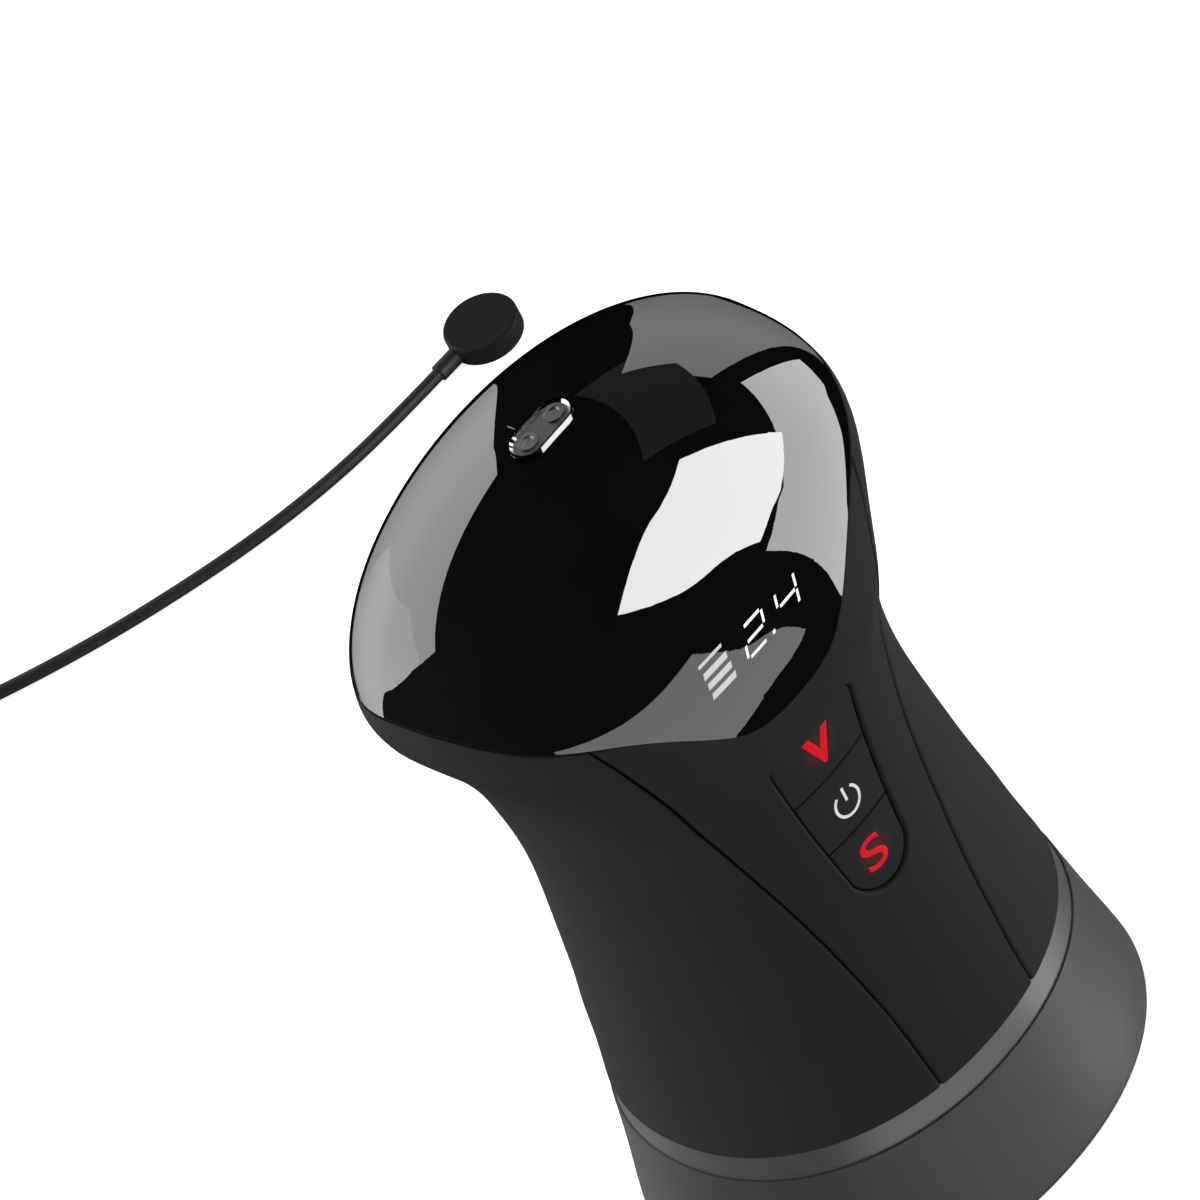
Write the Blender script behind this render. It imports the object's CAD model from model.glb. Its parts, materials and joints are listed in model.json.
"""Looks of a cordless hand-held massager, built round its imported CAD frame.

Everything is in metres. The body stands on its suction cup at the origin and the keys face -Y.
"""

import json
import logging
import math
from dataclasses import dataclass, field
from enum import Enum
from typing import Any, Callable, Iterable, Sequence

import bpy
import numpy as np
from mathutils import Matrix, Vector


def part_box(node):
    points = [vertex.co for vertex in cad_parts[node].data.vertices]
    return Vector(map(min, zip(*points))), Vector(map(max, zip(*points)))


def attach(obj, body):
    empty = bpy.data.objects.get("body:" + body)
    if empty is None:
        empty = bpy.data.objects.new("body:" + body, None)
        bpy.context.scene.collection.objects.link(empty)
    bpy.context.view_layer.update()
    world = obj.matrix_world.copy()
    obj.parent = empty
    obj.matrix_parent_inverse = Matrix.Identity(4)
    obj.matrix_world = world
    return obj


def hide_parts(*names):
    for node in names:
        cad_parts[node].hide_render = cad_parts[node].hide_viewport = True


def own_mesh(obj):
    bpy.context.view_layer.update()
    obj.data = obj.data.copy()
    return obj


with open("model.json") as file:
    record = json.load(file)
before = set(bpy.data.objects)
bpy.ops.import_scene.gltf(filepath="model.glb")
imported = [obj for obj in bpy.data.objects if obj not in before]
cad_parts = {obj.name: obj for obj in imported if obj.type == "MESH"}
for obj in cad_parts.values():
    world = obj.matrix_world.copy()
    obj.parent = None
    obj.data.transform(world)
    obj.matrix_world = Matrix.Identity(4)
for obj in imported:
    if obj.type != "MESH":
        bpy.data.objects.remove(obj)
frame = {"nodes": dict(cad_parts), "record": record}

LOG = logging.getLogger("massager")
MM = 0.001
AHEAD = -0.12  # y where flat pieces are made, in front of the object
MERGE = 0.002 * MM  # vertices nearer than this are merged
TINY = 1e-9  # keeps roots and quotients defined
Colour = tuple[float, float, float]
Point = tuple[float, float, float]
BLACK: Colour = (0.0, 0.0, 0.0)
WHITE: Colour = (1.0, 1.0, 1.0)


# --- shader maths ---


class Value:
    """A node socket that can be used in a Python expression."""

    def __init__(self, shader: "Shader", socket: bpy.types.NodeSocket) -> None:
        """Wraps a socket of one shader."""
        self.shader = shader
        self.socket = socket

    def maths(self, operation: str, *others: Any) -> "Value":
        """Adds a Math node.

        Args:
            operation: the Math node's operation.
            others: its further inputs, numbers or values.

        Returns:
            The node's result.
        """
        inputs = {0: self} | {i + 1: other for i, other in enumerate(others)}
        return self.shader.add("ShaderNodeMath", {"operation": operation}, inputs)

    def __add__(self, other: Any) -> "Value":
        """Sum."""
        return self.maths("ADD", other)

    __radd__ = __add__

    def __mul__(self, other: Any) -> "Value":
        """Product."""
        return self.maths("MULTIPLY", other)

    __rmul__ = __mul__

    def __sub__(self, other: Any) -> "Value":
        """Difference."""
        return self.maths("SUBTRACT", other)

    def __rsub__(self, other: Any) -> "Value":
        """Difference from a number."""
        return (self * -1.0) + other

    def __truediv__(self, other: Any) -> "Value":
        """Quotient."""
        return self.maths("DIVIDE", other)

    def __pow__(self, other: float) -> "Value":
        """Power."""
        return self.maths("POWER", other)


class Shader:
    """A Principled material under construction."""

    def __init__(self, name: str) -> None:
        """Starts a material with one Principled shader.

        Args:
            name: the material's name.
        """
        self.material = bpy.data.materials.new(name)
        self.material.use_nodes = True
        self.tree = self.material.node_tree
        self.surface = self.tree.nodes["Principled BSDF"]

    def add(
        self, kind: str, settings: dict[str, Any], inputs: dict[Any, Any], output: Any = 0
    ) -> Value:
        """Adds a node.

        Args:
            kind: the node's type.
            settings: its properties, set before its inputs.
            inputs: numbers, vectors or values by input name or index.
            output: which output to return.

        Returns:
            The output wanted.
        """
        node = self.tree.nodes.new(kind)
        for key, setting in settings.items():
            setattr(node, key, setting)
        for key, given in inputs.items():
            self.feed(node.inputs[key], given)
        return Value(self, node.outputs[output])

    def feed(self, socket: bpy.types.NodeSocket, given: Any) -> None:
        """Links a value to a socket, or sets the socket's own number or colour.

        Args:
            socket: the input to feed.
            given: a value, a number or a tuple.
        """
        if isinstance(given, Value):
            self.tree.links.new(given.socket, socket)
        elif isinstance(given, tuple) and len(given) == 3 and socket.type == "RGBA":
            socket.default_value = (*given, 1.0)
        else:
            socket.default_value = given

    def set(self, **inputs: Any) -> None:
        """Feeds the Principled shader; underscores in names stand for spaces."""
        for key, given in inputs.items():
            self.feed(self.surface.inputs[key.replace("_", " ")], given)

    def place(self) -> Value:
        """Object coordinates, in metres."""
        return self.add("ShaderNodeTexCoord", {}, {}, "Object")

    def stretched(self, scale: Point) -> Value:
        """Object coordinates scaled along each axis."""
        return self.add("ShaderNodeMapping", {}, {"Vector": self.place(), "Scale": scale})

    def noise(self, size: float, detail: float = 3.0, where: Value | None = None) -> Value:
        """Noise with features of a size in metres, from 0 to 1."""
        inputs = {"Vector": where or self.place(), "Scale": 1.0 / size, "Detail": detail}
        return self.add("ShaderNodeTexNoise", {}, inputs, 0)

    def spots(self, size: float, share: float) -> Value:
        """Scattered round specks.

        Args:
            size: the spacing of the specks, in metres.
            share: a speck's radius as a share of that spacing.

        Returns:
            1 inside a speck and 0 outside.
        """
        inputs = {"Vector": self.place(), "Scale": 1.0 / size}
        cells = self.add("ShaderNodeTexVoronoi", {}, inputs, "Distance")
        return cells.maths("LESS_THAN", share)

    def mix(self, mask: Any, first: Any, second: Any) -> Value:
        """Colour between first, where the mask is 0, and second, where it is 1."""
        settings = {"data_type": "RGBA"}
        return self.add("ShaderNodeMix", settings, {0: mask, 6: first, 7: second}, 2)

    def bump(self, height: Value, depth: float, strength: float = 1.0) -> Value:
        """Surface relief of a depth in metres."""
        inputs = {"Strength": strength, "Distance": depth, "Height": height}
        return self.add("ShaderNodeBump", {}, inputs)


def shade(colour: Colour, factor: float) -> Colour:
    """A colour made lighter or darker by a factor."""
    return tuple(min(1.0, part * factor) for part in colour)


# --- finishes ---


class Texture(Enum):
    """How the surface of a finish is broken up."""

    GRAIN = "moulded or sprayed grain"
    POLISH = "polished, with the odd speck"
    BRUSHED = "fine lines along one axis"
    WEAVE = "crossed threads"
    TRACES = "copper traces under solder mask"


@dataclass(frozen=True)
class Finish:
    """One finish of the record, as a procedural material.

    The feature is the size of the fine pattern and the relief is its depth. The broad
    size is that of the slow unevenness, and the two shares say how much each of them
    changes the roughness.
    """

    slot: str
    colour: Colour
    roughness: float
    metallic: float = 0.0
    texture: Texture = Texture.GRAIN
    feature: float = 0.25 * MM
    relief: float = 0.006 * MM
    uneven: float = 0.12
    specular: float = 0.5
    sheen: float = 0.0
    coat: float = 0.0
    coat_roughness: float = 0.08
    broad: float = 14 * MM
    broad_share: float = 0.25
    fine_share: float = 0.2
    trace_gain: float = 2.4

    def material(self) -> bpy.types.Material:
        """Builds the material.

        Returns:
            The material, named after the slot.
        """
        shader = Shader(self.slot)
        self.dress(shader)
        return shader.material

    def dress(self, shader: Shader) -> None:
        """Feeds the Principled shader with this finish.

        Args:
            shader: the material under construction.
        """
        broad = shader.noise(self.broad, 2.0)
        pattern = getattr(self, self.texture.name.lower())(shader)
        dark, light = shade(self.colour, 1 - self.uneven), shade(self.colour, 1 + self.uneven)
        colour = shader.mix(broad, dark, light)
        if self.texture is Texture.TRACES:
            colour = shader.mix(pattern, colour, shade(self.colour, self.trace_gain))
        slow = (broad - 0.5) * (self.broad_share * self.roughness)
        fine = (pattern - 0.5) * (self.fine_share * self.roughness)
        rough = slow + fine + self.roughness
        shader.set(Base_Color=colour, Roughness=rough, Metallic=self.metallic)
        shader.set(Normal=shader.bump(pattern, self.relief))
        shader.surface.inputs["Specular IOR Level"].default_value = self.specular
        shader.surface.inputs["Sheen Weight"].default_value = self.sheen
        shader.surface.inputs["Coat Weight"].default_value = self.coat
        shader.surface.inputs["Coat Roughness"].default_value = self.coat_roughness

    def grain(self, shader: Shader) -> Value:
        """Fine irregular grain over a coarser one."""
        return shader.noise(self.feature, 4.0) * 0.7 + shader.noise(5 * self.feature, 2.0) * 0.3

    def polish(self, shader: Shader) -> Value:
        """Nearly even surface with rare specks."""
        return shader.noise(6 * self.feature, 1.0) * 0.9 + shader.spots(4 * MM, 0.012) * 0.4

    def brushed(self, shader: Shader) -> Value:
        """Noise drawn out along X."""
        return shader.noise(self.feature, 3.0, shader.stretched((0.06, 1.0, 1.0)))

    def weave(self, shader: Shader) -> Value:
        """Two crossed sets of threads.

        Args:
            shader: the material under construction.

        Returns:
            The height of the upper thread.
        """
        threads = []
        for axis in ("X", "Z"):
            inputs = {"Vector": shader.place(), "Scale": 0.35 / self.feature, "Distortion": 0.3}
            threads.append(shader.add("ShaderNodeTexWave", {"bands_direction": axis}, inputs, 1))
        return threads[0].maths("MAXIMUM", threads[1])

    def traces(self, shader: Shader) -> Value:
        """Straight tracks with gaps between them.

        Args:
            shader: the material under construction.

        Returns:
            1 on a track and 0 beside it.
        """
        settings = {"offset": 0.5, "squash": 0.6, "squash_frequency": 3}
        inputs = {"Vector": shader.place(), "Scale": 90.0, "Mortar Size": 0.035, "Brick Width": 0.9}
        inputs |= {"Row Height": 0.16}
        return shader.add("ShaderNodeTexBrick", settings, inputs, "Fac")


def finishes() -> dict[str, Finish]:
    """Every finish of the record.

    Returns:
        The finishes by slot name.
    """
    brushed, polish = Texture.BRUSHED, Texture.POLISH
    rows = [
        Finish(
            "soft_touch",
            (0.0105, 0.0105, 0.011),
            0.64,
            relief=0.004 * MM,
            uneven=0.06,
            specular=0.035,
        ),
        Finish(
            "lens_gloss", (0.0028, 0.0028, 0.0032), 0.012, texture=polish, relief=0.0, uneven=0.25
        ),
        Finish("dark_rubber", (0.006, 0.006, 0.006), 0.7, relief=0.01 * MM, specular=0.15),
        Finish(
            "black_silicone", (0.02, 0.02, 0.021), 0.5, feature=0.5 * MM, uneven=0.18, specular=0.25
        ),
        Finish("satin_trim", (0.03, 0.03, 0.032), 0.4),
        Finish("structural_plastic", (0.05, 0.05, 0.052), 0.5, feature=0.4 * MM, relief=0.015 * MM),
        Finish("chrome", (0.4, 0.4, 0.41), 0.1, 1.0, polish, relief=0.0005 * MM, uneven=0.04),
        Finish("plated_contact", (0.3, 0.3, 0.3), 0.22, 1.0, polish, relief=0.0, uneven=0.06),
        Finish("magnet", (0.45, 0.45, 0.46), 0.3, 1.0, brushed, feature=0.2 * MM),
        Finish("circuit_board", (0.01, 0.09, 0.04), 0.35, texture=Texture.TRACES, relief=0.03 * MM),
        Finish("components", (0.03, 0.03, 0.03), 0.45, feature=0.2 * MM),
        Finish("display_block", (0.02, 0.02, 0.02), 0.4),
        Finish("cell_sleeve", (0.03, 0.12, 0.35), 0.25, texture=polish, relief=0.02 * MM, coat=0.5),
        Finish(
            "strap", (0.02, 0.02, 0.02), 0.8, texture=Texture.WEAVE, relief=0.15 * MM, sheen=0.3
        ),
        Finish("steel", (0.5, 0.5, 0.51), 0.28, 1.0, brushed, feature=0.15 * MM, uneven=0.08),
        Finish(
            "copper",
            (0.6, 0.25, 0.1),
            0.3,
            1.0,
            brushed,
            feature=0.3 * MM,
            relief=0.05 * MM,
            coat=0.6,
        ),
        Finish("lead_insulation", (0.45, 0.02, 0.02), 0.4, feature=0.4 * MM),
        Finish(
            "cord_sheath",
            (0.0085, 0.0085, 0.009),
            0.5,
            feature=0.3 * MM,
            relief=0.01 * MM,
            specular=0.15,
        ),
        Finish(
            "puck_plastic",
            (0.0055, 0.0055, 0.0058),
            0.55,
            feature=0.2 * MM,
            relief=0.008 * MM,
            specular=0.05,
        ),
        Finish(
            "filter_mesh",
            (0.5, 0.5, 0.5),
            0.5,
            1.0,
            Texture.WEAVE,
            feature=0.3 * MM,
            relief=0.1 * MM,
        ),
        Finish("tongue_plastic", (0.75, 0.75, 0.73), 0.45, uneven=0.05),
    ]
    return {row.slot: row for row in rows}


@dataclass(frozen=True)
class LitKeyFinish(Finish):
    """Soft-touch key with light bleeding through round its symbol."""

    glow: Colour = BLACK
    centre: Point = (0.0, 0.0, 0.0)
    spread: float = 6 * MM
    fall: float = 1.6  # how fast the glow fades outwards

    def dress(self, shader: Shader) -> None:
        """Adds the glow to the usual finish.

        Args:
            shader: the material under construction.
        """
        super().dress(shader)
        inputs = {0: shader.place(), 1: self.centre}
        apart = shader.add("ShaderNodeVectorMath", {"operation": "DISTANCE"}, inputs, "Value")
        nearness = (1.0 - apart / self.spread).maths("MAXIMUM", 0.0)
        shader.set(Emission_Color=shader.mix(nearness**self.fall, BLACK, self.glow))
        shader.surface.inputs["Emission Strength"].default_value = 1.0


@dataclass(frozen=True)
class Glow:
    """A lit symbol."""

    name: str
    colour: Colour
    strength: float
    base: Colour = (0.02, 0.02, 0.02)
    blotch: float = 2.5 * MM
    dimmest: float = 0.86

    def material(self) -> bpy.types.Material:
        """Builds the material, a little uneven as lit ink is.

        Returns:
            The material.
        """
        shader = Shader(self.name)
        spread = shader.noise(self.blotch, 2.0)
        dim = shade(self.colour, self.dimmest)
        shader.set(Emission_Color=shader.mix(spread, dim, self.colour))
        shader.set(Base_Color=self.base, Roughness=0.5)
        shader.surface.inputs["Specular IOR Level"].default_value = 0.05
        shader.surface.inputs["Emission Strength"].default_value = self.strength
        return shader.material


# --- modelling ---


def deselect() -> None:
    """Leaves object mode with nothing selected."""
    if bpy.context.object and bpy.context.object.mode != "OBJECT":
        bpy.ops.object.mode_set(mode="OBJECT")
    bpy.ops.object.select_all(action="DESELECT")


def activate(piece: bpy.types.Object) -> None:
    """Selects one object alone.

    Args:
        piece: the object.
    """
    deselect()
    piece.select_set(True)
    bpy.context.view_layer.objects.active = piece


def settle(piece: bpy.types.Object, name: str) -> bpy.types.Object:
    """Names a piece and moves its place into its mesh.

    Args:
        piece: the piece.
        name: its new name.

    Returns:
        The same piece.
    """
    activate(piece)
    bpy.ops.object.transform_apply(location=True, rotation=True, scale=True)
    piece.name = piece.data.name = name
    return piece


def join(pieces: Sequence[bpy.types.Object], name: str) -> bpy.types.Object:
    """Joins pieces into one.

    Args:
        pieces: the pieces.
        name: the name of the whole.

    Returns:
        The joined piece.
    """
    activate(pieces[0])
    for piece in pieces:
        piece.select_set(True)
    bpy.ops.object.join()
    return settle(bpy.context.object, name)


def modify(piece: bpy.types.Object, kind: str, **settings: Any) -> None:
    """Adds a modifier and applies it.

    Args:
        piece: the piece to change.
        kind: the modifier's type.
        settings: its properties.
    """
    activate(piece)
    modifier = piece.modifiers.new(kind.title(), kind)
    for key, setting in settings.items():
        setattr(modifier, key, setting)
    bpy.ops.object.modifier_apply(modifier=modifier.name)


def select_vertices(piece: bpy.types.Object, wanted: Callable[[Vector], bool]) -> None:
    """Selects some vertices and stays in edit mode.

    Args:
        piece: the piece.
        wanted: a test of a vertex's place.
    """
    activate(piece)
    bpy.ops.object.mode_set(mode="EDIT")
    bpy.ops.mesh.select_mode(type="VERT")
    bpy.ops.mesh.select_all(action="DESELECT")
    bpy.ops.object.mode_set(mode="OBJECT")
    for vertex in piece.data.vertices:
        vertex.select = wanted(vertex.co)
    bpy.ops.object.mode_set(mode="EDIT")


def select_faces(piece: bpy.types.Object, wanted: Callable[[bpy.types.MeshPolygon], bool]) -> None:
    """Selects some faces and stays in edit mode.

    Args:
        piece: the piece.
        wanted: a test of a face.
    """
    activate(piece)
    bpy.ops.object.mode_set(mode="EDIT")
    bpy.ops.mesh.select_mode(type="FACE")
    bpy.ops.mesh.select_all(action="DESELECT")
    bpy.ops.object.mode_set(mode="OBJECT")
    for polygon in piece.data.polygons:
        polygon.select = wanted(polygon)
    bpy.ops.object.mode_set(mode="EDIT")


def leaning_plate(
    left: float, right: float, low: float, high: float, lean: float
) -> bpy.types.Object:
    """Flat plate that faces -Y, whose upper side is moved to the right.

    Args:
        left, right, low, high: its sides in millimetres, left and right along its lower side.
        lean: how far its upper side moves to the right.

    Returns:
        The plate, in front of the object.
    """
    deselect()
    place = ((left + right) / 2 * MM, AHEAD, (low + high) / 2 * MM)
    bpy.ops.mesh.primitive_plane_add(size=1, location=place, rotation=(math.pi / 2, 0, 0))
    plate = bpy.context.object
    plate.scale = ((right - left) * MM, (high - low) * MM, 1)
    settle(plate, "stroke")
    middle = place[2]
    select_vertices(plate, lambda point: point.z > middle)
    bpy.ops.transform.translate(value=(lean * MM, 0, 0))
    bpy.ops.object.mode_set(mode="OBJECT")
    return plate


@dataclass(frozen=True)
class Mark:
    """A single generic letter, placed in millimetres on the front."""

    text: str
    middle: float
    low: float
    height: float
    width: float
    bold: float  # how much its strokes are thickened


def letter(mark: Mark) -> bpy.types.Object:
    """A letter that faces -Y.

    Args:
        mark: what it is, its place and its size.

    Returns:
        The letter as a flat mesh, in front of the object.
    """
    deselect()
    bpy.ops.object.text_add(location=(0, 0, 0), rotation=(math.pi / 2, 0, 0))
    words = bpy.context.object
    words.data.body = mark.text
    words.data.resolution_u = 8
    words.data.offset = mark.bold
    bpy.ops.object.convert(target="MESH")
    words = settle(bpy.context.object, "letter")
    places = list(zip(*(vertex.co for vertex in words.data.vertices)))
    low_corner, high_corner = (Vector(map(pick, places)) for pick in (min, max))
    size = high_corner - low_corner
    words.scale = (mark.width * MM / size.x, 1, mark.height * MM / size.z)
    middle = (low_corner.x + size.x / 2) * words.scale.x
    words.location = (mark.middle * MM - middle, AHEAD, mark.low * MM)
    words.location.z -= low_corner.z * words.scale.z
    return settle(words, "letter")


def lay_on(piece: bpy.types.Object, target: str, thickness: float, step: float = 0.6 * MM) -> None:
    """Wraps a flat piece that faces -Y on to the front of a CAD node, as a thin raised print.

    Args:
        piece: the flat piece.
        target: the node.
        thickness: how thick the print is.
        step: the spacing of the cuts that let it bend.
    """
    activate(piece)
    points = [vertex.co.copy() for vertex in piece.data.vertices]
    for axis in (0, 2):
        along = [point[axis] for point in points]
        least, most = min(along), max(along)
        for index in range(1, int((most - least) / step) + 1):
            bpy.ops.object.mode_set(mode="EDIT")
            bpy.ops.mesh.select_all(action="SELECT")
            cut = Vector((0, 0, 0))
            cut[axis] = least + index * step
            normal = [0.0, 0.0, 0.0]
            normal[axis] = 1.0
            bpy.ops.mesh.bisect(plane_co=cut, plane_no=normal, use_fill=False)
    bpy.ops.object.mode_set(mode="EDIT")
    bpy.ops.mesh.select_all(action="SELECT")
    bpy.ops.mesh.remove_doubles(threshold=MERGE)
    bpy.ops.object.mode_set(mode="OBJECT")
    settings = {"wrap_method": "PROJECT", "target": frame["nodes"][target]}
    settings |= {"use_project_x": False, "use_project_y": True, "use_project_z": False}
    settings |= {"use_positive_direction": True, "use_negative_direction": False}
    modify(piece, "SHRINKWRAP", **settings)
    select_faces(piece, lambda polygon: polygon.normal.y > 0)
    bpy.ops.mesh.flip_normals()
    bpy.ops.object.mode_set(mode="OBJECT")
    modify(piece, "SOLIDIFY", thickness=thickness, offset=1.0)
    bpy.ops.object.mode_set(mode="EDIT")
    bpy.ops.mesh.select_all(action="SELECT")
    bpy.ops.mesh.normals_make_consistent(inside=False)
    bpy.ops.object.mode_set(mode="OBJECT")
    settle(piece, piece.name)


def merged_copy(node: str, name: str) -> bpy.types.Object:
    """A copy of a CAD node with its doubled vertices merged.

    Args:
        node: the CAD node, which the copy replaces.
        name: the copy's name.

    Returns:
        The copy.
    """
    activate(frame["nodes"][node])
    bpy.ops.object.duplicate()
    copy = bpy.context.object
    copy.name = copy.data.name = name
    bpy.ops.object.mode_set(mode="EDIT")
    bpy.ops.mesh.select_all(action="SELECT")
    bpy.ops.mesh.remove_doubles(threshold=MERGE)
    bpy.ops.object.mode_set(mode="OBJECT")
    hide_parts(node)
    return copy


def finish_piece(
    piece: bpy.types.Object, material: bpy.types.Material, body: str
) -> None:
    """Dresses a piece and fixes it to a body.

    Args:
        piece: the piece.
        material: its material.
        body: the body that it moves with.
    """
    piece.data.materials.clear()
    piece.data.materials.append(material)
    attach(piece, body)
    LOG.info("%s rides on %s", piece.name, body)


# --- studio ---


class Side(Enum):
    """What a card is for, and how bright the gloss shows it."""

    WINDOW = 0.8
    SOFTBOX = 0.24
    WALL = 0.36
    BOUNCE = 0.125
    SHADE = 0.009


@dataclass(frozen=True)
class Card:
    """A rectangular reflector card that faces the head.

    Its middle stands at an azimuth and an elevation, and it spans a width and a
    height seen from the head. Its tilt turns it about its middle. All are in degrees.
    """

    name: str
    side: Side
    azimuth: float
    elevation: float
    width: float
    height: float
    tilt: float = 0.0
    distance: float = 2.0
    gain: float = 1.0


@dataclass(frozen=True)
class Lamp:
    """A square area light."""

    name: str
    place: Point
    power: float
    size: float


@dataclass
class Studio:
    """Camera, pale floor, soft light and the cards that the gloss reflects."""

    azimuth: float = -28.0
    elevation: float = 42.6
    roll: float = 28.6
    lens: float = 493.0
    sensor: float = 36.0
    distance: float = 3.0
    far: float = 100.0
    aim: Point = (0.0, -0.002, 0.162)
    drop: float = 0.012775  # how far the camera stands below its aim, across its view
    floor_size: float = 60.0
    floor_colour: Colour = (0.6, 0.6, 0.6)
    floor_glow: float = 0.75
    head_centre: Point = (0.0, 0.0, 0.15)
    gloss_front: float = 0.04  # how much gloss reflects straight on
    cards: list[Card] = field(default_factory=list)
    lamps: tuple[Lamp, ...] = (
        Lamp("rim_light", (-1.8, 0.9, 0.3), 70.0, 0.8),
        Lamp("side_light", (1.6, 1.6, 0.4), 3.0, 1.0),
    )

    def build(self) -> None:
        """Makes everything that isn't part of the object."""
        self.make_camera()
        self.make_floor()
        self.make_world()
        self.make_lights()
        for card in self.cards:
            self.make_card(card)

    def make_camera(self) -> None:
        """Camera that looks down on the head, tilted to one side."""
        azimuth, elevation, roll = map(math.radians, (self.azimuth, self.elevation, self.roll))
        back = Vector((math.sin(azimuth), -math.cos(azimuth), 0)) * math.cos(elevation)
        back.z = math.sin(elevation)
        right = Vector((math.cos(azimuth), math.sin(azimuth), 0))
        up = back.cross(right)
        across = right * math.cos(roll) - up * math.sin(roll)
        upright = right * math.sin(roll) + up * math.cos(roll)
        deselect()
        place = Vector(self.aim) + back * self.distance - upright * self.drop
        bpy.ops.object.camera_add(location=place)
        camera = bpy.context.object
        camera.rotation_euler = Matrix((across, upright, back)).transposed().to_euler()
        camera.data.lens = self.lens
        camera.data.sensor_width = self.sensor
        camera.data.clip_end = self.far
        bpy.context.scene.camera = camera

    def make_floor(self) -> None:
        """Plain white floor, unseen by the gloss."""
        deselect()
        bpy.ops.mesh.primitive_plane_add(size=self.floor_size)
        floor = settle(bpy.context.object, "floor")
        shader = Shader("floor_white")
        shader.set(Base_Color=self.floor_colour, Roughness=1.0, Emission_Color=WHITE)
        shader.surface.inputs["Emission Strength"].default_value = self.floor_glow
        shader.surface.inputs["Specular IOR Level"].default_value = 0.0
        floor.data.materials.append(shader.material)
        floor.visible_glossy = False

    def make_world(self) -> None:
        """Even white surroundings for soft light only."""
        world = bpy.data.worlds.new("studio")
        bpy.context.scene.world = world
        world.use_nodes = True
        light = world.node_tree.nodes["Background"]
        light.inputs["Color"].default_value = (*WHITE, 1.0)
        light.inputs["Strength"].default_value = 1.0
        world.cycles_visibility.glossy = False
        bpy.context.scene.view_settings.view_transform = "Standard"

    def make_lights(self) -> None:
        """Large soft lights that the gloss doesn't show."""
        for lamp in self.lamps:
            deselect()
            bpy.ops.object.light_add(type="AREA", location=lamp.place)
            light = bpy.context.object
            light.name = lamp.name
            toward = Vector(lamp.place) - Vector(self.aim)
            light.rotation_euler = toward.to_track_quat("Z", "Y").to_euler()
            light.data.energy = lamp.power
            light.data.size = lamp.size
            light.visible_glossy = False

    def make_card(self, card: Card) -> None:
        """Flat glowing card, square to its direction from the head.

        Args:
            card: where it stands, its size and its brightness.
        """
        aim = direction(card.azimuth, card.elevation)
        halves = [math.tan(math.radians(span / 2)) for span in (card.width, card.height)]
        spans = [2 * card.distance * half for half in halves]
        place = Vector(self.head_centre) + aim * card.distance
        deselect()
        bpy.ops.mesh.primitive_plane_add(size=1.0, location=place)
        plate = bpy.context.object
        plate.scale = (*spans, 1.0)
        turn = Matrix.Rotation(math.radians(card.tilt), 4, "Z")
        plate.rotation_euler = (aim.to_track_quat("Z", "Y").to_matrix().to_4x4() @ turn).to_euler()
        settle(plate, card.name)
        plate.data.materials.append(self.card_light(card))
        plate.visible_camera = plate.visible_diffuse = plate.visible_shadow = False

    def card_light(self, card: Card) -> bpy.types.Material:
        """Light that dims where gloss reflects more, so that its reflection shows even.

        Gloss reflects least straight on and most at a grazing angle. The slope is that of
        the surface that would reflect a place of the card into the camera.

        Args:
            card: the card that is lit.

        Returns:
            The card's material.
        """
        shader = Shader(card.name)
        ahead = direction(self.azimuth + 180, -self.elevation)
        inputs = {0: shader.place(), 1: self.head_centre}
        apart = shader.add("ShaderNodeVectorMath", {"operation": "SUBTRACT"}, inputs)
        aim = shader.add("ShaderNodeVectorMath", {"operation": "NORMALIZE"}, {0: apart})
        inputs = {0: aim, 1: tuple(ahead)}
        along = shader.add("ShaderNodeVectorMath", {"operation": "DOT_PRODUCT"}, inputs, "Value")
        slope = 1.0 - ((1.0 - along) * 0.5).maths("MAXIMUM", 0.0) ** 0.5
        gloss = slope**5 * (1 - self.gloss_front) + self.gloss_front
        inputs = {0: card.side.value * card.gain, 1: gloss}
        level = shader.add("ShaderNodeMath", {"operation": "DIVIDE"}, inputs)
        glow = shader.add("ShaderNodeEmission", {}, {"Strength": level})
        output = shader.tree.nodes["Material Output"]
        shader.tree.links.new(glow.socket, output.inputs["Surface"])
        shader.material.cycles.emission_sampling = "NONE"
        return shader.material


def direction(azimuth: float, elevation: float) -> Vector:
    """Unit vector that points in a direction.

    Args:
        azimuth: degrees, 0 along -Y and 90 along +X.
        elevation: degrees above the horizon.

    Returns:
        The vector.
    """
    turn, rise = math.radians(azimuth), math.radians(elevation)
    level = Vector((math.sin(turn), -math.cos(turn), 0)) * math.cos(rise)
    return level + Vector((0, 0, math.sin(rise)))


CARDS = [
    Card("left_softbox", Side.SOFTBOX, azimuth=195, elevation=15, width=70, height=90, tilt=-15),
    Card(
        "left_inner",
        Side.WALL,
        azimuth=205,
        elevation=5,
        width=50,
        height=70,
        tilt=-15,
        distance=1.9,
        gain=0.8,
    ),
    Card("back_card", Side.BOUNCE, azimuth=115, elevation=10, width=35, height=80, tilt=25),
    Card(
        "window", Side.WINDOW, azimuth=30, elevation=20, width=30, height=30, tilt=30, distance=1.8
    ),
    Card(
        "right_card",
        Side.WALL,
        azimuth=60,
        elevation=-5,
        width=60,
        height=45,
        tilt=35,
        distance=2.1,
    ),
    Card(
        "front_card",
        Side.BOUNCE,
        azimuth=-10,
        elevation=-30,
        width=60,
        height=30,
        tilt=15,
        distance=2.2,
    ),
    Card("top_card", Side.SHADE, azimuth=85, elevation=50, width=55, height=20, distance=2.3),
]


# --- sub-assemblies ---


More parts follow.
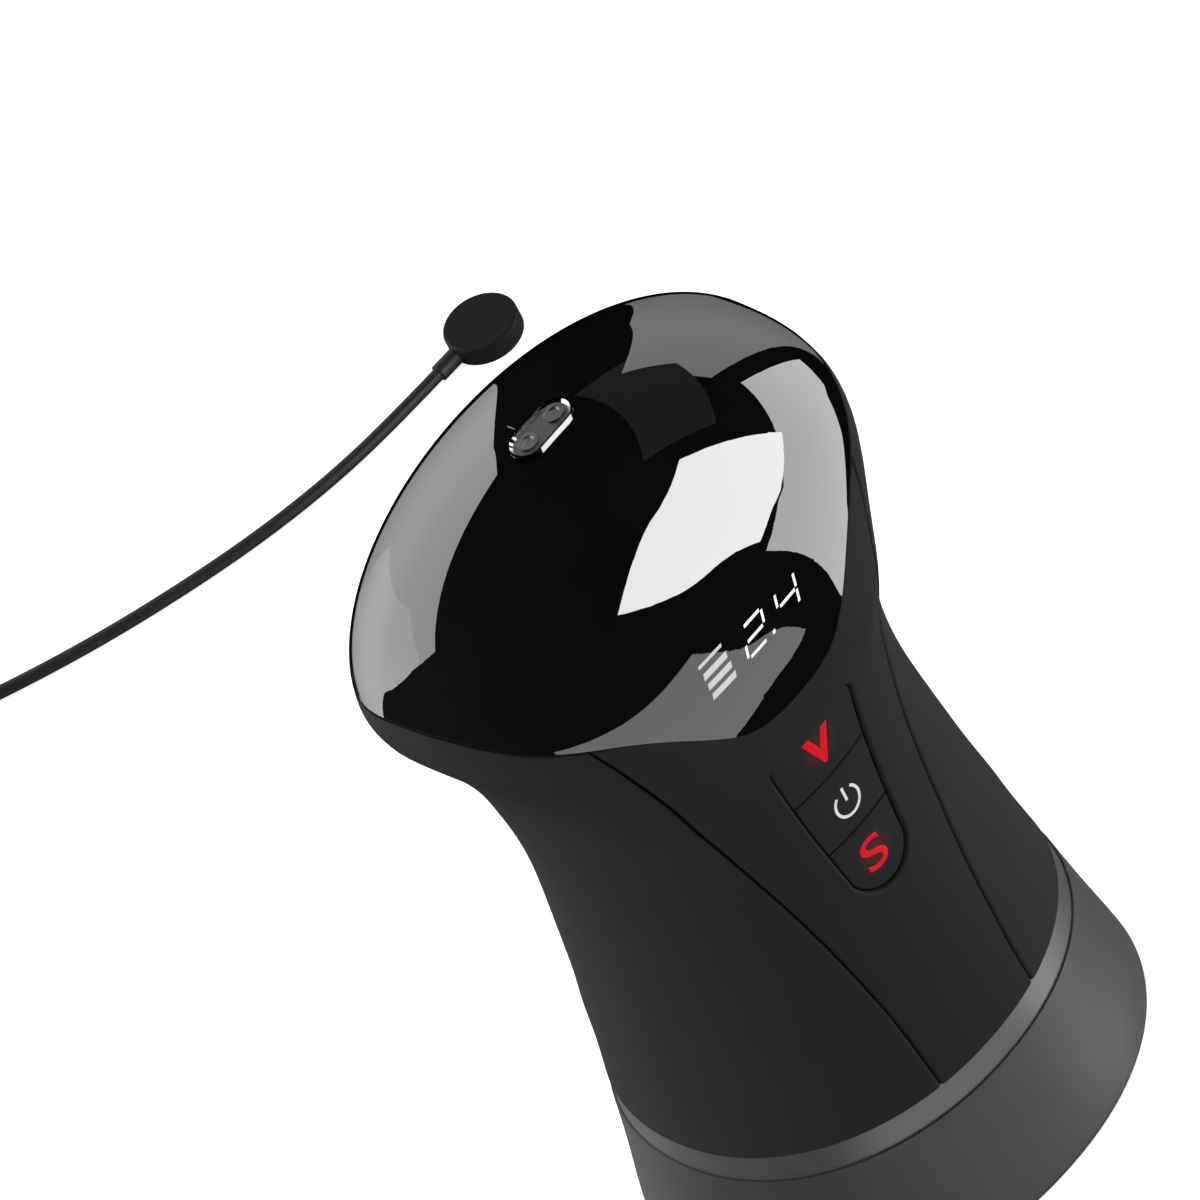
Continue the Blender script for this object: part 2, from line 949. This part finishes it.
@dataclass
class LensShape:
    """Outer surface of the head, as a level function that is 0 on it."""

    height: float = 190.0
    side: tuple[float, float, float, float] = (39.9, 54.4, 32.5, 53.0)
    back: tuple[float, float, float, float] = (36.4, 37.6, 37.5, 48.5)
    front: tuple[float, float, float, float] = (36.7, 38.9, 58.0, 48.5)
    waist: float = 98.0
    lean: float = 5.0
    flare: float = 1.28
    swell: float = 1.95
    roundness: float = 2.1
    square_gain: float = 0.7
    top_round: float = 0.5
    square_drop: float = 90.0
    square_span: float = 40.0
    top_span: float = 27.0
    near: float = 0.06  # how close to the surface a point of the lens's outside is
    lean_rise: float = 2.0
    lean_span: float = 34.0
    back_round: float = 0.1
    cuts: int = 2
    passes: int = 4
    sharp: float = 30.0  # edges steeper than this, in degrees, stay sharp

    def ease(self, value: Any) -> Any:
        """Smooth step from 0 to 1."""
        t = np.clip(value, 0, 1)
        return t * t * (3 - 2 * t)

    def reach(self, z: Any, sizes: tuple[float, float, float, float], centre: Any) -> Any:
        """Distance from the section's middle to its edge in one direction.

        Args:
            z: heights in millimetres.
            sizes: half sizes of waist, head and base, with the dome's rise third.
            centre: the section's middle.

        Returns:
            The distances.
        """
        waist, head, rise, base = sizes
        widest = self.height - rise
        dome = (head - centre) * np.sqrt(np.maximum(1 - ((z - widest) / rise) ** 2, TINY))
        swell = np.clip((z - self.waist) / (widest - self.waist), 0, 1) ** self.swell
        upper = waist + (head - waist) * self.ease(swell)
        lower = waist + (base - waist) * np.clip(1 - z / self.waist, 0, 1) ** self.flare
        return np.where(z >= widest, dome, np.where(z < self.waist, lower, upper) - centre)

    def level(self, points: Any) -> Any:
        """Measure of how far points are outside.

        Args:
            points: places in millimetres, one to a row.

        Returns:
            A number for each point, below 0 inside and 0 on the surface.
        """
        x, y, z = points.T
        above = z - self.height + self.square_drop
        lean = self.lean * self.ease((above + self.lean_rise) / self.lean_span)
        square = self.ease(above / self.square_span)
        crown = np.clip((z - self.height + self.top_span) / self.top_span, 0, 1)
        ahead = y < lean
        fore, aft = self.reach(z, self.front, -lean), self.reach(z, self.back, lean)
        depth = np.where(ahead, fore, aft)
        ahead_power = self.roundness + self.square_gain * square - self.top_round * crown
        power = np.where(ahead, ahead_power, self.roundness - self.back_round * crown)
        across = np.abs(x) / self.reach(z, self.side, 0.0)
        along = np.abs(y - lean) / depth
        return (across**power + along**power) ** (2 / power) - 1

    def offsets(self, points: Any, step: float = 0.01) -> Any:
        """Moves that bring points on to the surface.

        Args:
            points: places in millimetres, one to a row.
            step: how far apart the slope is sampled.

        Returns:
            A move in millimetres for each point.
        """
        value = self.level(points)
        rises = [self.level(points + axis) - self.level(points - axis) for axis in np.eye(3) * step]
        slope = np.stack(rises, 1) / (2 * step)
        return -slope * (value / np.maximum((slope**2).sum(1), TINY))[:, None]

    def build(self, material: bpy.types.Material) -> None:
        """Builds the lens: a finer copy of the CAD lens whose outside is exactly smooth.

        Args:
            material: the lens's material.
        """
        lens = merged_copy("lens", "display_lens")
        outside = self.outside(lens)
        select_faces(lens, lambda polygon: all(outside[index] for index in polygon.vertices))
        bpy.ops.mesh.subdivide(number_cuts=self.cuts)
        bpy.ops.object.mode_set(mode="OBJECT")
        places = self.places(lens)
        chosen = np.array([vertex.select for vertex in lens.data.vertices])
        for _ in range(self.passes):
            move = np.where(chosen[:, None], self.offsets(places), 0.0)
            places += np.clip(np.nan_to_num(move), -self.near, self.near)
        lens.data.vertices.foreach_set("co", (places * MM).ravel())
        lens.data.update()
        if lens.data.attributes.get("custom_normal"):
            bpy.ops.mesh.customdata_custom_splitnormals_clear()
        bpy.ops.object.shade_smooth_by_angle(angle=math.radians(self.sharp))
        finish_piece(lens, material, "body")

    def places(self, lens: bpy.types.Object) -> Any:
        """Where the vertices are.

        Args:
            lens: the lens.

        Returns:
            Their places in millimetres, one to a row.
        """
        flat = np.empty(3 * len(lens.data.vertices))
        lens.data.vertices.foreach_get("co", flat)
        return flat.reshape(-1, 3) / MM

    def outside(self, lens: bpy.types.Object) -> Any:
        """Which vertices lie on the outer surface."""
        return np.linalg.norm(self.offsets(self.places(lens)), axis=1) < self.near


class Stroke(Enum):
    """The strokes of a figure: whether it is level, and its column and row."""

    BOTTOM = (True, 0, 0)
    MIDDLE = (True, 0, 1)
    TOP = (True, 0, 2)
    LOWER_LEFT = (False, 0, 0)
    LOWER_RIGHT = (False, 1, 0)
    UPPER_LEFT = (False, 0, 1)
    UPPER_RIGHT = (False, 1, 1)


@dataclass(frozen=True)
class Figure:
    """One figure of the display, placed in millimetres by its lower left corner."""

    left: float
    low: float
    strokes: tuple[Stroke, ...]


TWO = (Stroke.TOP, Stroke.UPPER_RIGHT, Stroke.MIDDLE, Stroke.LOWER_LEFT, Stroke.BOTTOM)
FOUR = (Stroke.UPPER_LEFT, Stroke.UPPER_RIGHT, Stroke.MIDDLE, Stroke.LOWER_RIGHT)


@dataclass
class Display:
    """Lit figures behind the lens: a one-place decimal and four level bars.

    Sizes and places are in millimetres on the front.
    """

    stroke: float = 0.56
    slant: float = 0.42
    width: float = 4.35  # length of a level stroke
    rise: float = 2.7  # from one row of a figure to the next
    beside: float = 0.6  # from the end of a level stroke to the middle of an upright one
    inset: float = 0.27  # from a row to the end of an upright stroke
    figures: tuple[Figure, ...] = (Figure(-4.1, 147.0, TWO), Figure(5.3, 146.8, FOUR))
    point_left: float = 2.15
    point_low: float = 146.6
    point_size: float = 0.68
    bar_left: float = -14.9
    bar_low: float = 147.1  # height of the lowest bar's middle
    bar_width: float = 6.3
    bar_heights: tuple[float, ...] = (1.2, 1.2, 1.2, 0.6)
    bar_rise: float = 2.1
    bar_shift: float = 0.35  # how far each bar stands to the right of the one below
    figure_glow: float = 1.3
    bar_glow: float = 0.68
    print_thickness: float = 0.04 * MM
    body: str = "body"
    target: str = "lens"

    def build(self) -> None:
        """Builds the figures and the bars."""
        white = Glow("figures_white", WHITE, self.figure_glow).material()
        plates = [
            self.lit_stroke(figure, stroke) for figure in self.figures for stroke in figure.strokes
        ]
        right, high = self.point_left + self.point_size, self.point_low + self.point_size
        plates.append(self.plate(self.point_left, right, self.point_low, high))
        self.light(join(plates, "display_figures"), white)
        pale = Glow("bars_white", WHITE, self.bar_glow).material()
        bars = [self.level_bar(index) for index in range(len(self.bar_heights))]
        self.light(join(bars, "level_bars"), pale)

    def lit_stroke(self, figure: Figure, stroke: Stroke) -> bpy.types.Object:
        """One stroke of a figure.

        Args:
            figure: the figure.
            stroke: which of its strokes.

        Returns:
            The stroke as a flat plate.
        """
        level, column, row = stroke.value
        half = self.stroke / 2
        foot = row * self.rise
        if level:
            left, right, low, high = 0.0, self.width, foot - half, foot + half
        else:
            middle = self.width + self.beside if column else -self.beside
            left, right = middle - half, middle + half
            low, high = foot + self.inset, foot + self.rise - self.inset
            foot = low
        start = figure.left + self.slant * foot
        return self.plate(start + left, start + right, figure.low + low, figure.low + high)

    def level_bar(self, index: int) -> bpy.types.Object:
        """One of the level bars.

        Args:
            index: its number, 0 for the lowest.

        Returns:
            The bar as a flat plate.
        """
        left = self.bar_left + index * self.bar_shift
        middle, half = self.bar_low + index * self.bar_rise, self.bar_heights[index] / 2
        return self.plate(left, left + self.bar_width, middle - half, middle + half)

    def plate(self, left: float, right: float, low: float, high: float) -> bpy.types.Object:
        """One leaning stroke."""
        return leaning_plate(left, right, low, high, self.slant * (high - low))

    def light(self, piece: bpy.types.Object, material: bpy.types.Material) -> None:
        """Wraps the print on the lens and lights it."""
        lay_on(piece, self.target, self.print_thickness)
        finish_piece(piece, material, self.body)


@dataclass
class Keypad:
    """Lit symbols on the three keys, each moving with its key."""

    print_thickness: float = 0.05 * MM
    ring_radius: float = 3.1
    ring_stroke: float = 0.6
    ring_centre: tuple[float, float] = (0.2, 100.7)
    ring_steps: int = 40
    gap: float = 38.0  # half of the ring's opening, in degrees
    bar_low: float = 0.3
    bar_high: float = 0.5
    v_mark: Mark = Mark("V", 0.1, 112.4, 8.1, 7.2, 0.04)
    s_mark: Mark = Mark("S", -0.35, 83.4, 7.2, 5.5, 0.005)
    red: Colour = (0.66, 0.008, 0.014)
    red_base: Colour = (0.03, 0.0, 0.0)
    white: Colour = (0.86, 0.86, 0.88)
    white_glow: float = 0.85
    halos: tuple[tuple[str, float, Colour], ...] = (
        ("key_v", 116.5, (0.075, 0.001, 0.002)),
        ("key_power", 100.8, (0.003, 0.003, 0.003)),
        ("key_s", 87.0, (0.075, 0.001, 0.002)),
    )
    halo: float = 5.5 * MM
    halo_sink: float = 1.0 * MM

    def build(self, soft: Finish) -> None:
        """Builds the symbols and dresses the keys.

        Args:
            soft: the finish of the body, which the keys share.
        """
        red = Glow("symbol_red", self.red, 1.0, self.red_base).material()
        white = Glow("symbol_white", self.white, self.white_glow).material()
        self.symbol(letter(self.v_mark), "symbol_v", "key_v", red)
        self.symbol(letter(self.s_mark), "symbol_s", "key_s", red)
        self.symbol(self.power_sign(), "symbol_power", "key_power", white)
        shared = ("colour", "roughness", "relief", "uneven", "specular")
        same = {name: getattr(soft, name) for name in shared}
        for node, height, glow in self.halos:
            low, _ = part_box(node)
            centre = (0.0, low[1] + self.halo_sink, height * MM)
            lit = LitKeyFinish(node, **same, glow=glow, centre=centre, spread=self.halo)
            dress_node(node, lit.material())

    def symbol(
        self, piece: bpy.types.Object, name: str, key: str, material: bpy.types.Material
    ) -> None:
        """Prints one symbol on its key.

        Args:
            piece: the flat symbol.
            name: its name.
            key: the key's node and body.
            material: its material.
        """
        piece.name = piece.data.name = name
        lay_on(piece, key, self.print_thickness)
        finish_piece(piece, material, key)

    def power_sign(self) -> bpy.types.Object:
        """Open ring with a bar in its gap, spun from one short edge.

        Returns:
            The flat symbol.
        """
        x, z = self.ring_centre
        deselect()
        start = math.radians(90 - self.gap)
        middle = Vector((x * MM, AHEAD, z * MM))
        arm = Vector((math.cos(start), 0, math.sin(start)))
        bpy.ops.mesh.primitive_plane_add(size=1, location=middle + arm * self.ring_radius * MM)
        ring = bpy.context.object
        ring.rotation_euler = (0, -start, 0)
        ring.scale = (self.ring_stroke * MM, 0.1 * MM, 1)
        settle(ring, "ring")
        select_vertices(ring, lambda point: point.y > AHEAD)
        bpy.ops.mesh.delete(type="VERT")
        bpy.ops.mesh.select_all(action="SELECT")
        turn = math.radians(360 - 2 * self.gap)
        bpy.ops.mesh.spin(steps=self.ring_steps, angle=-turn, center=middle, axis=(0, 1, 0))
        bpy.ops.object.mode_set(mode="OBJECT")
        half = self.ring_stroke / 2
        low, high = z + self.bar_low, z + self.ring_radius + self.bar_high
        bar = leaning_plate(x - half, x + half, low, high, 0.0)
        return join([ring, bar], "power")


@dataclass
class Lead:
    """Charging lead from the magnetic puck to the put-away coil and its plug."""

    radius: float = 1.4 * MM
    length: float = 0.8
    coil_centre: tuple[float, float] = (-37.9, 245.8)
    coil_outer: float = 21.1
    coil_inner: float = 12.7
    full_turns: int = 6
    turn_points: int = 14
    lower_turns: float = 3.0
    rise_turns: float = 0.25
    plug_end: Point = (-57.4, 266.5, 3.5)
    tail: tuple[Point, ...] = ((10.0, 0.2, 0.5), (5.0, 0.0, 0.0), (0.0, 0.0, 0.0))
    run: tuple[Point, ...] = (
        (101.0, 215.0, 1.9),
        (84.0, 216.0, 1.5),
        (66.0, 218.7, 1.4),
        (49.0, 223.2, 1.4),
        (32.5, 229.3, 1.4),
        (16.0, 236.6, 1.4),
        (0.5, 245.0, 1.4),
        (-13.1, 253.7, 1.4),
        (-26.1, 263.3, 1.4),
    )

    def build(self, sheath: bpy.types.Material) -> None:
        """Builds the cord as one smooth line.

        Args:
            sheath: the cord's material.
        """
        points = [Vector(point) * MM for point in self.run] + list(self.coil())
        deselect()
        bpy.ops.curve.primitive_nurbs_path_add()
        cord = bpy.context.object
        cord.name = cord.data.name = "charging_lead"
        cord.location = (0, 0, 0)
        curve = cord.data
        curve.splines.clear()
        spline = curve.splines.new("NURBS")
        spline.points.add(len(points) - 1)
        for target, point in zip(spline.points, points):
            target.co = (*point, 1)
        spline.order_u = 3
        spline.use_endpoint_u = True
        curve.dimensions = "3D"
        curve.resolution_u = 6
        curve.bevel_depth = self.radius
        curve.bevel_resolution = 5
        curve.use_fill_caps = True
        curve.materials.append(sheath)
        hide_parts("charging_cord", "cord_coil")
        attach(cord, "body")
        ends = [frame["nodes"][name] for name in ("puck_shell", "puck_collar", "puck_pins")]
        ends += [frame["nodes"][name] for name in ("usb_grip", "usb_shell", "usb_tongue")]
        LOG.info("charging_lead rides on body")

    def coil(self) -> Iterable[Vector]:
        """Points of the coil and of its tail.

        The lower layer is wound inwards and the upper one outwards.

        Yields:
            The points, in metres.
        """
        x, y = self.coil_centre
        first = Vector((self.run[-1][0] - x, self.run[-1][1] - y))
        start = math.degrees(math.atan2(first.y, first.x))
        turns = self.full_turns + (90 - start) / 360
        upper = turns - self.lower_turns - self.rise_turns
        grow = 1 / math.cos(math.pi / self.turn_points)
        low, high = self.radius / MM, 3 * self.radius / MM
        for index in range(1, round(turns * self.turn_points) + 1):
            done = index / self.turn_points
            inward = min(done / self.lower_turns, 1)
            risen = min(max((done - self.lower_turns) / self.rise_turns, 0), 1)
            wound = done - self.lower_turns - self.rise_turns
            outward = min(max(wound / upper, 0), 1)
            shrink = (self.coil_inner - self.coil_outer) * (inward - outward)
            reach = self.coil_outer + shrink
            angle = math.radians(start + 360 * done)
            height = low + (high - low) * risen
            across = Vector((math.cos(angle), math.sin(angle))) * reach * grow
            yield Vector((x + across.x, y + across.y, height)) * MM
        for offset in self.tail:
            yield (Vector(self.plug_end) + Vector(offset)) * MM


@dataclass
class ReleaseSpring:
    """Spring of the release valve, which shortens as the plunger lifts."""

    lift: float = 1.5 * MM
    joint: str = "valve_lift"

    def build(self, material: bpy.types.Material) -> None:
        """Builds the spring and ties its length to the plunger.

        Args:
            material: the spring's material.
        """
        spring = merged_copy("valve_spring", "release_spring")
        finish_piece(spring, material, "body")
        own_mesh(spring)


def dress_node(node: str, material: bpy.types.Material) -> None:
    """Gives a CAD node one material in all its slots.

    Args:
        node: the node.
        material: the material.
    """
    piece = frame["nodes"][node]
    if not piece.material_slots:
        piece.data.materials.append(material)
    for held in piece.material_slots:
        held.material = material


def dress_nodes(table: dict[str, Finish], made: dict[str, bpy.types.Material]) -> None:
    """Dresses every CAD node in the finish that the record names for it.

    Args:
        table: the finishes by slot.
        made: their materials by slot.
    """
    for part in frame["record"]["subparts"]:
        node, slot = part["node"], part["material_slot"]
        if node in frame["nodes"] and slot in table:
            dress_node(node, made[slot])
            LOG.info("%s is %s", node, slot)


def main() -> None:
    """Builds the scene."""
    logging.basicConfig(level=logging.INFO, format="%(message)s")
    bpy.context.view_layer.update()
    table = finishes()
    made = {slot: finish.material() for slot, finish in table.items()}
    Studio(cards=CARDS).build()
    Lead().build(made["cord_sheath"])
    dress_nodes(table, made)
    LensShape().build(made["lens_gloss"])
    ReleaseSpring().build(made["steel"])
    Display().build()
    Keypad().build(table["soft_touch"])


if __name__ == "__main__":
    main()
